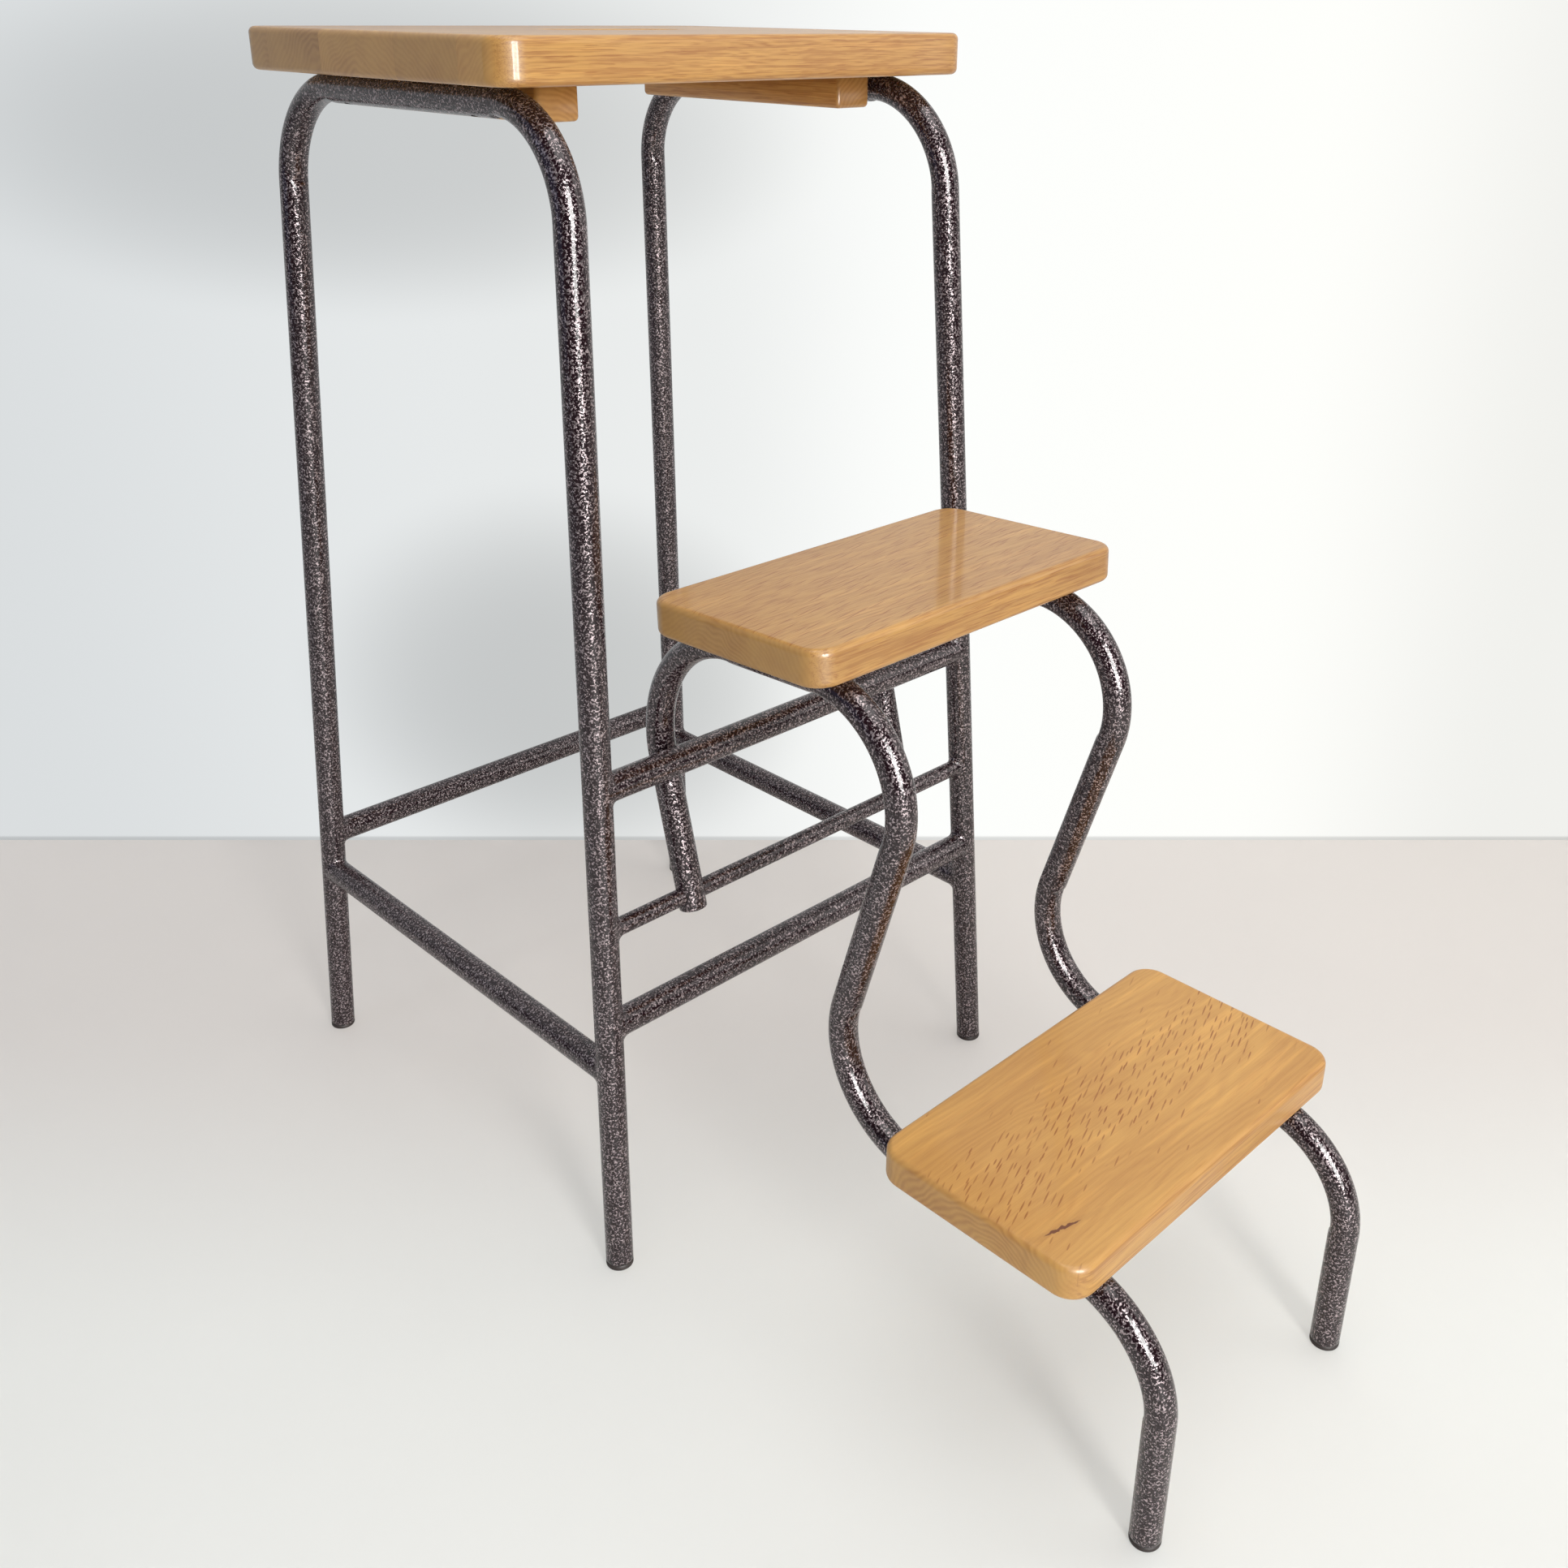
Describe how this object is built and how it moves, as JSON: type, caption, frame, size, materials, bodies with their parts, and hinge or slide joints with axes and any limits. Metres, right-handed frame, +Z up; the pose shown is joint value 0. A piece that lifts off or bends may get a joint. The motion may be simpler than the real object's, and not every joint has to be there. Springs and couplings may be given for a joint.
{
  "type": "folding step stool chair",
  "caption": "Tall stool with an oak seat on a splayed steel tube frame and a hinged two-tread step unit that swings up and under the seat.",
  "frame": {"origin": "on the floor below the middle of the whole object's box, the step unit open", "axes": "+X to the right seen from the front, the steps reach towards -Y, +Z up"},
  "size_m": [0.393, 0.7865, 0.7925],
  "materials": {
    "seat_oak": "varnished golden oak",
    "batten_oak": "varnished oak",
    "step_oak": "varnished golden oak",
    "frame_paint": "glossy silver-veined hammered enamel over near-black brown",
    "step_tube_paint": "glossy silver-veined hammered enamel over near-black brown",
    "foot_plastic": "dark brown moulded plastic",
    "screw_steel": "zinc plated"
  },
  "bodies": {
    "frame": {"seat_board": "seat_oak", "left_seat_batten": "batten_oak", "right_seat_batten": "batten_oak", "left_side_frame": "frame_paint", "right_side_frame": "frame_paint", "front_upper_bar": "frame_paint", "front_lower_bar": "frame_paint", "rear_bar": "frame_paint", "left_side_bar": "frame_paint", "right_side_bar": "frame_paint", "pivot_rod": "frame_paint", "front_left_foot": "foot_plastic", "front_right_foot": "foot_plastic", "rear_left_foot": "foot_plastic", "rear_right_foot": "foot_plastic", "seat_screws": "screw_steel", "batten_screws": "screw_steel"},
    "step_unit": {"left_step_tube": "step_tube_paint", "right_step_tube": "step_tube_paint", "upper_step_board": "step_oak", "lower_step_board": "step_oak", "left_step_foot": "foot_plastic", "right_step_foot": "foot_plastic", "upper_step_screws": "screw_steel", "lower_step_screws": "screw_steel"}
  },
  "joints": [
    {"name": "step_fold", "type": "hinge", "parent": "frame", "child": "step_unit", "pos_m": [0, 0.01081, 0.258], "axis": [-1, 0, 0], "range_deg": [0, 152.5]}
  ]
}
